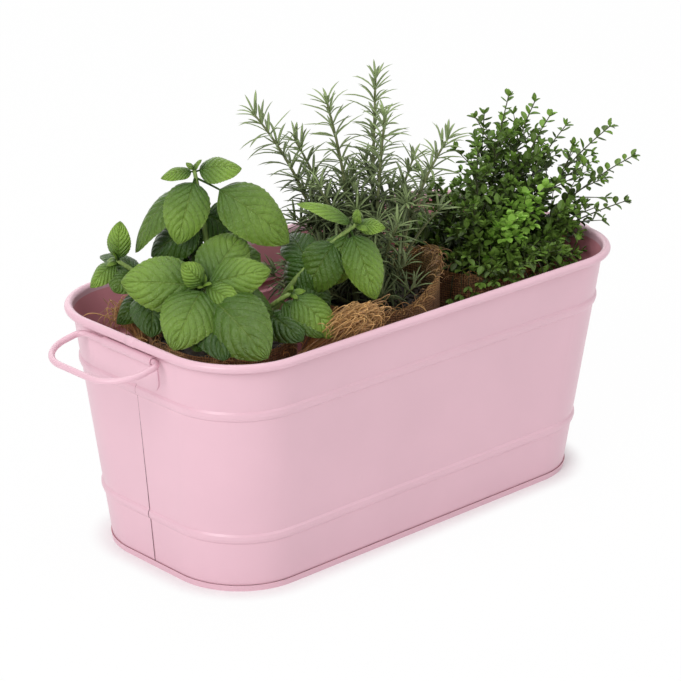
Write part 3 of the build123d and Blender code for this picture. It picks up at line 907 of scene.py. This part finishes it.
class PLANTER_OT_tub(bpy.types.Operator):
    """Coat the walls, base, brackets and handles, with painted shade inside the tub, and draw the tub's
    fine lines, the dark ones painted shade.
    """

    bl_idname = "planter.tub"
    bl_label = "Dress the tub"

    def execute(self, context):
        look = context.scene.planter_tub
        coat = coat_material(look, "pink_coat", inside_shade=False)
        # Walls and base get painted shade inside the tub
        inside_shade = coat_material(look, "pink_coat_inside_shade", inside_shade=True)
        for name in ("front_wall", "rear_wall", "base_pan"):
            dress(name, inside_shade)
        for name in ("left_bracket", "right_bracket", "left_handle", "right_handle"):
            dress(name, coat)
        dress("rim_wire", wire_material())
        # Dark strips of painted shade in the joints
        shade = seam_shade_material(look)
        make_end_seams(shade)
        make_lip_line(shade)
        make_rim_laps(coat)
        return {"FINISHED"}


def dress(name, material):
    """Give a CAD node one material all over."""
    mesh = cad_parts[name].data
    mesh.materials.clear()
    mesh.materials.append(material)


def make_end_seams(material):
    """Dark line of painted shade in the lapped joint up the middle of each end, over the beads."""
    heights = [(LIP_HEIGHT, 0.0)]
    for foot in BEAD_FEET:
        heights += [(foot + part * BEAD_HEIGHT, rise * BEAD_DEPTH) for part, rise in BEAD_OUTLINE]
    heights.append((TUB_HEIGHT - SEAM_BELOW_RIM, 0.0))
    growth = Growth()
    for end in (-1, 1):
        rows = []
        for z, bead in heights:
            x = end * (half_length(z) + bead + SEAM_PROUD)
            rows.append([Vector((x, side * end * SEAM_WIDE / 2, z)) for side in (-1, 1)])
        growth.grid(rows, 0, PLAIN, [[(0, z / TUB_HEIGHT), (1, z / TUB_HEIGHT)] for z, bead in heights])
    growth.build("end_seams", [material], "tub")


def make_rim_laps(material):
    """Short band at each end where one end of the rolled rim laps over the other."""
    growth = Growth()
    z = TUB_HEIGHT - RIM_R
    last = len(LAP_TURNS) - 1
    uvs = [[(k / last, row) for k in range(last + 1)] for row in range(len(LAP_OUTLINE))]
    for end in (-1, 1):
        x = end * (TOP_HALF_LENGTH + RIM_OUT - RIM_R)
        rows = []
        for y, proud in LAP_OUTLINE:
            r = RIM_R + proud * MM
            rows.append([Vector((x + end * r * math.cos(t), y * MM, z + r * math.sin(t)))
                         for t in LAP_TURNS])
        growth.grid(rows if end > 0 else rows[::-1], 0, PLAIN, uvs)
    growth.build("rim_laps", [material], "tub")


def tub_ring(z, offset, steps=14):
    """Points round the tub's rounded outline at one height."""
    a, b, r = half_length(z) + offset, half_width(z) + offset, CORNER_R + offset
    ring = []
    for quarter, (x, y) in enumerate(((a - r, b - r), (r - a, b - r), (r - a, r - b), (a - r, r - b))):
        for k in range(steps + 1):
            turn = math.pi / 2 * (quarter + k / steps)
            ring.append(Vector((x + r * math.cos(turn), y + r * math.sin(turn), z)))
    return ring


def make_lip_line(material):
    """Dark line of painted shade where the walls drop into the folded edge of the base."""
    growth = Growth()
    rows = [tub_ring(LIP_HEIGHT + rise, SEAM_PROUD) for rise in LIP_LINE]
    growth.grid(rows, 0, PLAIN, [[(0, k)] * len(rows[0]) for k in (0, 1)], closed=True)
    growth.build("lip_line", [material], "tub")


class PLANTER_OT_sacks(bpy.types.Operator):
    """Wrap each root ball in a gathered jute sack with a frayed mouth, and fill it with soil."""

    bl_idname = "planter.sacks"
    bl_label = "Make the sacks"

    def execute(self, context):
        look = context.scene.planter_tub
        jute, fibre, soil = jute_material(look), fibre_material(look), soil_material()
        for herb, (middle, mouth) in SACKS.items():
            rng = random.Random(f"sack {herb}")
            sack = make_sack(herb, middle, mouth, jute)
            fringe = make_fringe(herb, middle, mouth, fibre, rng)
            make_soil(herb, middle, mouth, soil, rng)
        return {"FINISHED"}


def sack_radius(z, mouth):
    """Radius of a sack at one height."""
    share = (z - SACK_FOOT) / (SACK_TOP - SACK_FOOT)
    return SACK_FOOT_R + (mouth - SACK_FOOT_R) * share


def make_sack(herb, middle, mouth, material, turns=120):
    """Cloth tube with slack folds, a rounded foot and a wavering mouth."""
    growth = Growth()
    rows, uvs = [], []
    foot_heights, foot_shares = [0.0, 0.0, 0.004, 0.012], [0.12, 0.86, 0.95, 0.99]
    wall_heights = [0.02 + 0.93 * k / 30 for k in range(1, 31)] + [0.985, 1.0]
    shares = foot_shares + [1.0] * len(wall_heights)
    for h, share in zip(foot_heights + wall_heights, shares):
        z = SACK_FOOT + SACK_LIFT + h * (SACK_TOP - SACK_FOOT - SACK_LIFT)
        loose = min(1, h * 8)
        row, row_uvs = [], []
        for i in range(turns):
            a = 2 * math.pi * i / turns
            spot = Vector((math.cos(a) * 2, math.sin(a) * 2, h * 3 + len(herb)))
            slack = noise.noise(spot * 1.3) * 0.6 + noise.noise(spot * 3.1) * 0.4
            wave = MOUTH_WAVE * noise.noise(spot * 0.9 + Vector((5, 1, 2))) if h > 0.98 else 0
            lift = collar(herb, a) * max(0.0, h - 0.75) * 4
            r = sack_radius(z, mouth) * share - SACK_INSET + (slack * SACK_FOLD - SACK_FOLD_IN) * loose
            r += lift * 0.12 * noise.noise(spot * 2.2)
            row.append(ring_point(middle, r, a, z + wave + lift))
            row_uvs.append((a * mouth, z + wave + lift))
        rows.append(row)
        uvs.append(row_uvs)
    growth.grid(rows, 0, PLAIN, uvs, closed=True)
    return growth.build(f"{herb}_jute", [material], herb, f"{herb}_sack")


def make_fringe(herb, middle, mouth, material, rng):
    """Frayed yarn ends round a sack's mouth, some of them long, and the basil sack's tufts."""
    growth = Growth()
    for n in range(FRINGE[herb]):
        a = rng.uniform(0, 2 * math.pi)
        clump = 0.5 + 0.5 * noise.noise(Vector((math.cos(a) * 2.3, math.sin(a) * 2.3, len(herb))))
        frayed_end(growth, herb, a, rng.uniform(4, 12) * MM * (0.6 + clump), rng)
    if herb == "basil":
        for place, fibres in TUFTS:
            make_tuft(growth, middle, mouth, place, fibres, rng)
    return growth.build(f"{herb}_fringe", [material], herb)


def frayed_end(growth, herb, a, length, rng, droop=-0.28, steps=8):
    """Loose jute fibre from the sack's mouth, curling as it falls."""
    middle, mouth = SACKS[herb]
    out, round_it = Vector((math.cos(a), math.sin(a), 0)), Vector((-math.sin(a), math.cos(a), 0))
    p = Vector((middle.x, middle.y, 0)) + out * (mouth - rng.uniform(1, 4) * MM)
    p.z = SACK_TOP + collar(herb, a) - rng.uniform(2, 5) * MM
    heading = out * rng.uniform(-0.9, 0.35) + round_it * rng.uniform(-1.2, 1.2)
    heading.z = rng.uniform(0.2, 1.0)
    path = [p]
    for k in range(steps):
        heading.normalize()
        p = p + heading * (length / steps)
        path.append(p)
        heading += Vector((rng.uniform(-0.4, 0.4), rng.uniform(-0.4, 0.4), droop))
    lay_fibre(growth, path, rng.uniform(0.18, 0.4) * MM, rng.random())


def lay_fibre(growth, path, thick, tint):
    """Fibre that thins toward its end."""
    last = len(path) - 1
    radii = [thick * (1 - FIBRE_TAPER * (k / last) ** 2) for k in range(last + 1)]
    growth.tube(path, radii, 0, tint, sides=3)


def wander(p):
    """Smooth swerve of a fibre at one place, the same in every run."""
    return Vector([noise.noise(p + Vector(shift)) for shift in WANDER_SHIFTS])


def make_tuft(growth, middle, mouth, place, fibres, rng, steps=14):
    """Loose yarn that spills from a sack's mouth into a mound."""
    aim = turn_of(place, middle)
    for n in range(fibres):
        start = ring_point(middle, mouth, aim + rng.gauss(0, 0.12), SACK_TOP - TUFT_DEPTH)
        crest = place + Vector((rng.gauss(0, 6), rng.gauss(0, 3.5), rng.uniform(0, 10))) * MM
        end = crest + Vector((rng.uniform(-13, 10), rng.uniform(-6, 4), rng.uniform(-15, 1))) * MM
        pull = crest * 2 - (start + end) / 2
        path = []
        for k in range(steps + 1):
            t = k / steps
            p = bend(start, pull, end, t)
            swerve = wander(p * WANDER_RATE + Vector((0, 0, n % 7)))
            path.append(p + swerve * WANDER_REACH * MM * t)
        lay_fibre(growth, path, rng.uniform(0.2, 0.45) * MM, rng.uniform(0.4, 1.0))


def make_soil(herb, middle, mouth, material, rng, crumbs=240, turns=64, top_rings=16):
    """Root ball: a rounded plug with a rough top, strewn with crumbs."""
    growth = Growth()
    rows, uvs = [], []
    top = SOIL_TOP - 2.5 * MM
    foot = SACK_FOOT + 3 * MM
    rings = [(foot, 0.3), (foot + 0.5 * MM, 0.95), (foot + 9 * MM, 1.0), (top, 1.0)]
    rings += [(top, 1.0 - k / top_rings) for k in range(1, top_rings + 1)]
    for z, share in rings:
        r = (sack_radius(z, mouth) - SOIL_INSET) * share + 0.2 * MM
        row = [ring_point(middle, r, 2 * math.pi * i / turns, z) for i in range(turns)]
        if z == top:
            for p in row:
                p.z += SOIL_LUMP * noise.noise(p * 160) + SOIL_CRUMB * noise.noise(p * 420)
        rows.append(row)
        uvs.append([(i / turns, share) for i in range(turns)])
    growth.grid(rows, 0, PLAIN, uvs, closed=True)
    for n in range(crumbs):
        a, r = rng.uniform(0, 2 * math.pi), (mouth - 8 * MM) * math.sqrt(rng.random())
        size = rng.uniform(0.8, 2.3) * MM
        p = ring_point(middle, r, a, top + size * 0.4)
        radii = [size * rng.uniform(0.6, 1.2) * share for share in CRUMB_OUTLINE]
        path = [p + UP * ((k - 2) * size * 0.4) for k in range(len(radii))]
        growth.tube(path, radii, 0, PLAIN, sides=7)
    return growth.build(f"{herb}_soil", [material], herb, f"{herb}_root_ball")


class PLANTER_OT_basil(bpy.types.Operator):
    """Grow the basil: branching stems with large veined leaves."""

    bl_idname = "planter.basil"
    bl_label = "Grow the basil"

    def execute(self, context):
        look = context.scene.planter_herbs
        materials = [basil_material(look, "basil_upper", 1.0), basil_material(look, "basil_under", 1.2),
                     stem_material("basil_stem", (0.11, 0.19, 0.03), (0.25, 0.34, 0.09))]
        middle = Vector((SACKS["basil"][0].x, SACKS["basil"][0].y, TUB_HEIGHT))
        for number, stem in stems_of("basil", [tip for tip, leaves in BASIL_STEMS]):
            rng = random.Random(f"basil {number}")
            growth = Growth()
            growth.stalk(stem, *BASIL_STEM_R, 2, sides=10)
            leaves = BASIL_STEMS[number - 1][1] + FILLING_IN.get(number, [])
            for place, (share, offset, width, turn) in enumerate(leaves):
                tip = middle + Vector(offset) * MM
                # Painted light: broad leaves are tinted lighter
                broad_lit = BROAD_LEAF_PAINTED_LIGHT if width > BROAD_LEAF else 0.0
                tint = max(0.0, share ** 9 + broad_lit + rng.uniform(-0.06, 0.06))
                stalk = LONG_STALKS.get((number, place), STALK)
                basil_leaf(growth, stem.point(share), tip, width * MM, turn, tint, rng, stalk)
            basil_crown(growth, stem, rng)
            growth.build(f"basil_shoot_{number}", materials, "basil", f"basil_stem_{number}")
        return {"FINISHED"}


def basil_crown(growth, stem, rng):
    """Two pairs of tiny leaves at a shoot's growing tip."""
    centre, along, u, v = stem.frame(NEAR_TIP)
    for n in range(4):
        out = outward(u, v, n * math.pi / 2 + 0.5)
        reach = rng.uniform(5, 10) * MM
        tip = centre + (out + along * rng.uniform(0.5, 1.0)).normalized() * reach
        basil_leaf(growth, centre, tip, reach * 0.55, 30, 0.95, rng, rows=8, columns=6)


def low_twigs(herb, number, stems, rng, count, spread, hang=0.0):
    """Short twigs beside a stem, from the soil out over the sack's mouth, where they may hang down."""
    middle, mouth = SACKS[herb]
    for n in range(count):
        angle = 2 * math.pi * (number + n / count) / stems + rng.uniform(-0.2, 0.2)
        out = Vector((math.cos(angle), math.sin(angle), 0))
        root = Vector((middle.x, middle.y, SOIL_TOP - ROOT_DEPTH))
        root += out * (mouth * rng.uniform(0.3, 0.65))
        tip = Vector((middle.x, middle.y, 0)) + out * (mouth + rng.uniform(-12, spread) * MM)
        tip.z = SACK_TOP + rng.uniform(3, 18) * MM - hang
        if may_grow(tip, herb):
            yield Stem(root, tip, knee=0.45, arch=2.2 * hang)


class PLANTER_OT_rosemary(bpy.types.Operator):
    """Grow the rosemary: upright stems set round with needles."""

    bl_idname = "planter.rosemary"
    bl_label = "Grow the rosemary"

    def execute(self, context):
        look = context.scene.planter_herbs
        bark = stem_material("rosemary_stem", (0.09, 0.1, 0.035), (0.19, 0.22, 0.09))
        materials = [needle_material(look), bark]
        stems = len(ROSEMARY_TIPS)
        for number, stem in stems_of("rosemary", ROSEMARY_TIPS):
            rng = random.Random(f"rosemary {number}")
            growth = Growth()
            rosemary_shoot(growth, stem, look, rng, ROSEMARY_R)
            for n in range(ROSEMARY_SIDE_SHOOTS):
                share = 0.12 + 0.1 * n + rng.uniform(-0.04, 0.04)
                centre, along, u, v = stem.frame(share)
                out = outward(u, v, SPIRAL * n + number)
                reach = rng.uniform(22, 40) * MM * (1.15 - share)
                tip = centre + (out + along * rng.uniform(0.8, 1.6)).normalized() * reach
                if may_grow(tip, "rosemary"):
                    rosemary_shoot(growth, Stem(centre, tip, knee=0.5), look, rng, ROSEMARY_TWIG_R)
            for twig in low_twigs("rosemary", number, stems, rng, count=4, spread=14):
                rosemary_shoot(growth, twig, look, rng, ROSEMARY_TWIG_R)
            growth.build(f"rosemary_shoot_{number}", materials, "rosemary", f"rosemary_stem_{number}")
        return {"FINISHED"}


def rosemary_shoot(growth, stem, look, rng, foot):
    """Stem with whorls of needles all the way up."""
    growth.stalk(stem, foot, 0.4 * foot, 1, sides=7)
    whorls = max(4, int(stem.length() / look.whorl_pitch))
    for w in range(1, whorls + 1):
        rosemary_whorl(growth, stem, min(NEAR_TIP, w / whorls), look, rng)


def rosemary_whorl(growth, stem, share, look, rng, needles=8):
    """Needles round the stem at one place, longer lower down and drawn together at the tip."""
    young = max(0.0, share - (1 - YOUNG_TIP)) / YOUNG_TIP
    start = rng.uniform(0, 2 * math.pi)
    for n in range(needles):
        shift = rng.uniform(-0.5, 0.5) * 2.5 * MM / stem.length()
        centre, along, u, v = stem.frame(min(NEAR_TIP, share + shift))
        out = outward(u, v, start + 2 * math.pi * n / needles + rng.uniform(-0.3, 0.3))
        rise = rng.uniform(0.1, 0.7) + 0.7 * young
        reach = look.needle_length * rng.uniform(0.7, 1.15) * (1.1 - 0.2 * share - 0.25 * young)
        tip = centre + (out + along * rise).normalized() * reach
        if may_grow(tip, "rosemary"):
            # Painted light: needles higher above the rim are tinted lighter; the share term is the
            # shoot's age
            light = 0.6 * share ** 2 + (tip.z - TUB_HEIGHT) * 3.0 + rng.uniform(-0.2, 0.3)
            tint = min(1.0, max(0.0, light))
            base = centre + out * 0.4 * MM
            needle(growth, base, tip, rng.uniform(1.4, 2.0) * MM, tint, rng.uniform(0.02, 0.16))


class PLANTER_OT_thyme(bpy.types.Operator):
    """Grow the thyme: wiry twigs with small round leaves in pairs."""

    bl_idname = "planter.thyme"
    bl_label = "Grow the thyme"

    def execute(self, context):
        look = context.scene.planter_herbs
        bark = stem_material("thyme_stem", (0.03, 0.03, 0.01), (0.09, 0.11, 0.04))
        materials = [thyme_material(look), bark]
        stems = len(THYME_TIPS)
        for number, stem in stems_of("thyme", THYME_TIPS):
            rng = random.Random(f"thyme {number}")
            growth = Growth()
            young = 1.0 if number in YOUNG_THYME else 0.0
            thyme_shoot(growth, stem, look, rng, THYME_R, young)
            for n in range(THYME_SIDE_SHOOTS):
                share = 0.06 + 0.045 * n + rng.uniform(-0.03, 0.03)
                centre, along, u, v = stem.frame(share)
                out = outward(u, v, SPIRAL * n + number)
                reach = stem.length() * rng.uniform(0.28, 0.46) * (1.15 - share)
                heading = out * rng.uniform(0.5, 1.0) + along * rng.uniform(0.7, 1.3)
                tip = centre + heading.normalized() * reach
                if has_room(tip, "thyme"):
                    thyme_shoot(growth, Stem(centre, tip, knee=0.5), look, rng, THYME_TWIG_R, young)
            for twig in low_twigs("thyme", number, stems, rng, count=9, spread=32):
                thyme_shoot(growth, twig, look, rng, THYME_TWIG_R, young=0.0)
            for twig in low_twigs("thyme", number, stems, rng, count=8, spread=30, hang=20 * MM):
                thyme_shoot(growth, twig, look, rng, THYME_TWIG_R, young=0.2)
            growth.build(f"thyme_shoot_{number}", materials, "thyme", f"thyme_stem_{number}")
        return {"FINISHED"}


def thyme_shoot(growth, stem, look, rng, foot, young):
    """Wiry stem with leaf pairs, each turned a quarter from the last, and a tuft at its tip."""
    growth.stalk(stem, foot, 0.45 * foot, 1, sides=5, steps=8)
    pairs = max(3, int(stem.length() / look.pair_pitch))
    for w in range(1, pairs + 3):
        share = min(NEAR_TIP, w / pairs)
        centre, along, u, v = stem.frame(share)
        for n in (0, 1):
            out = outward(u, v, math.pi * n + math.pi / 2 * w + rng.uniform(-0.35, 0.35))
            reach = rng.uniform(5.0, 8.5) * MM * (1.0 if w < pairs else 0.75)
            rise = rng.uniform(0.2, 0.9) if w < pairs else rng.uniform(0.6, 1.6)
            tip = centre + (out + along * rise).normalized() * reach
            if has_room(tip, "thyme"):
                # Painted light: leaves higher above the rim are tinted lighter; the share and young terms
                # are age
                light = 0.4 * share + (tip.z - TUB_HEIGHT) * 2.5 + young + rng.uniform(-0.25, 0.25)
                tint = min(1.0, max(0.0, light - 0.1))
                wide = reach * (rng.uniform(0.46, 0.62) + 0.25 * young)
                thyme_leaf(growth, centre, tip, wide, tint, rng.uniform(-0.06, 0.1))


class PLANTER_OT_stage(bpy.types.Operator):
    """Set the floor, the soft studio light and the camera."""

    bl_idname = "planter.stage"
    bl_label = "Set the stage"

    def execute(self, context):
        look = context.scene.planter_stage
        context.scene.view_settings.view_transform = "Standard"
        make_floor(look)
        make_world(context.scene, look)
        for name, (place, size, power) in LIGHTS.items():
            add_area(name, place, size, power)
        make_camera(look)
        return {"FINISHED"}


def seen_directly(g):
    """One for rays from the camera, from mirrors and through glass, else zero."""
    path = g.node("LightPath")
    seen = g.most(path.outputs["Is Camera Ray"], path.outputs["Is Glossy Ray"])
    return g.most(seen, path.outputs["Is Transmission Ray"])


def make_floor(look):
    """White floor: plain white away from the tub where it is seen, with the tub's shadow beside it."""
    g = Graph("floor")
    place = g.place()
    grain = g.noise(place, 30.0, 3.0)
    g.shade(Base_Color=g.ramp(grain, (0.3, tone(look.floor, 0.995)), (0.7, look.floor)), Roughness=0.9,
            Specular_IOR_Level=0.1)
    white = g.node("Emission", {"Color": (1, 1, 1, 1), "Strength": 1.0}).outputs[0]
    corner = (FOOT_HALF_LENGTH - CORNER_R, FOOT_HALF_WIDTH - CORNER_R, 0)
    apart = g.vector("SUBTRACT", g.vector("ABSOLUTE", place)["Vector"], corner)["Vector"]
    far = g.vector("LENGTH", g.vector("MAXIMUM", apart)["Vector"])["Value"]
    whiteness = g.span(far, look.floor_white, FLOOR_FAR_WHITE, CORNER_R, CORNER_R + look.shadow_reach,
                       interpolation_type="SMOOTHSTEP")
    share = g.times(seen_directly(g), whiteness)
    mixed = g.node("MixShader", {0: share, 1: g.shader.outputs[0], 2: white}).outputs[0]
    g.tree.links.new(mixed, g.tree.nodes["Material Output"].inputs["Surface"])
    corners = [(x * FLOOR_HALF, y * FLOOR_HALF, 0) for x, y in ((-1, -1), (1, -1), (1, 1), (-1, 1))]
    mesh = bpy.data.meshes.new("floor")
    mesh.from_pydata(corners, [], [(0, 1, 2, 3)])
    mesh.materials.append(g.material)
    floor = bpy.data.objects.new("floor", mesh)
    bpy.context.collection.objects.link(floor)


def make_world(scene, look):
    """White surround where it is seen, a plain soft light elsewhere."""
    world = bpy.data.worlds.new("surround")
    world.use_nodes = True
    scene.world = world
    g = Graph("surround", world.node_tree)
    strength = g.span(seen_directly(g), look.ambient, 1.0)
    g.fill(g.tree.nodes["Background"], {"Color": (1, 1, 1, 1), "Strength": strength})


def add_area(name, place, size, power):
    """Square soft light that looks at the tub."""
    light = bpy.data.lights.new(name, "AREA")
    light.size = size
    light.energy = power
    lamp = bpy.data.objects.new(name, light)
    lamp.location = place
    aim = LIGHT_AIM - Vector(place)
    lamp.rotation_euler = aim.to_track_quat("-Z", "Y").to_euler()
    bpy.context.collection.objects.link(lamp)


def make_camera(look):
    """Camera at the photograph's angle, shifted to the photograph's framing."""
    a, e = look.azimuth, look.elevation
    back = Vector((math.sin(a) * math.cos(e), -math.cos(a) * math.cos(e), math.sin(e)))
    right = Vector((math.cos(a), math.sin(a), 0))
    up = back.cross(right)
    place = Vector((0, 0, TUB_HEIGHT / 2)) + back * look.distance - right * CAMERA_LEFT + up * CAMERA_UP
    turned_right = right * math.cos(CAMERA_ROLL) + up * math.sin(CAMERA_ROLL)
    turned_up = up * math.cos(CAMERA_ROLL) - right * math.sin(CAMERA_ROLL)
    data = bpy.data.cameras.new("camera")
    data.lens = look.lens
    data.sensor_width = SENSOR_WIDTH
    data.clip_end = SIGHT_LIMIT
    camera = bpy.data.objects.new("camera", data)
    axes = Matrix((turned_right, turned_up, back)).transposed().to_4x4()
    camera.matrix_world = Matrix.Translation(place) @ axes
    bpy.context.collection.objects.link(camera)
    bpy.context.scene.camera = camera


STEPS = (PLANTER_OT_tub, PLANTER_OT_sacks, PLANTER_OT_basil, PLANTER_OT_rosemary, PLANTER_OT_thyme,
         PLANTER_OT_stage)
LOOKS = {"planter_tub": TubLook, "planter_herbs": HerbLook, "planter_stage": StageLook}


class PLANTER_PT_panel(bpy.types.Panel):
    """Steps that dress the planter, with the sizes and colours that they use."""

    bl_idname = "PLANTER_PT_panel"
    bl_label = "Herb planter"
    bl_space_type = "VIEW_3D"
    bl_region_type = "UI"
    bl_category = "Planter"

    def draw(self, context):
        for look in LOOKS:
            group = getattr(context.scene, look)
            for name in group.__annotations__:
                self.layout.prop(group, name)
        for step in STEPS:
            self.layout.operator(step.bl_idname)


def register():
    for cls in (*LOOKS.values(), *STEPS, PLANTER_PT_panel):
        bpy.utils.register_class(cls)
    for name, cls in LOOKS.items():
        setattr(bpy.types.Scene, name, bpy.props.PointerProperty(type=cls))


def unregister():
    for name in LOOKS:
        delattr(bpy.types.Scene, name)
    for cls in (PLANTER_PT_panel, *reversed(STEPS), *reversed(list(LOOKS.values()))):
        bpy.utils.unregister_class(cls)


def main():
    register()
    bpy.ops.planter.tub()
    bpy.ops.planter.sacks()
    bpy.ops.planter.basil()
    bpy.ops.planter.rosemary()
    bpy.ops.planter.thyme()
    bpy.ops.planter.stage()


if __name__ == "__main__":
    main()
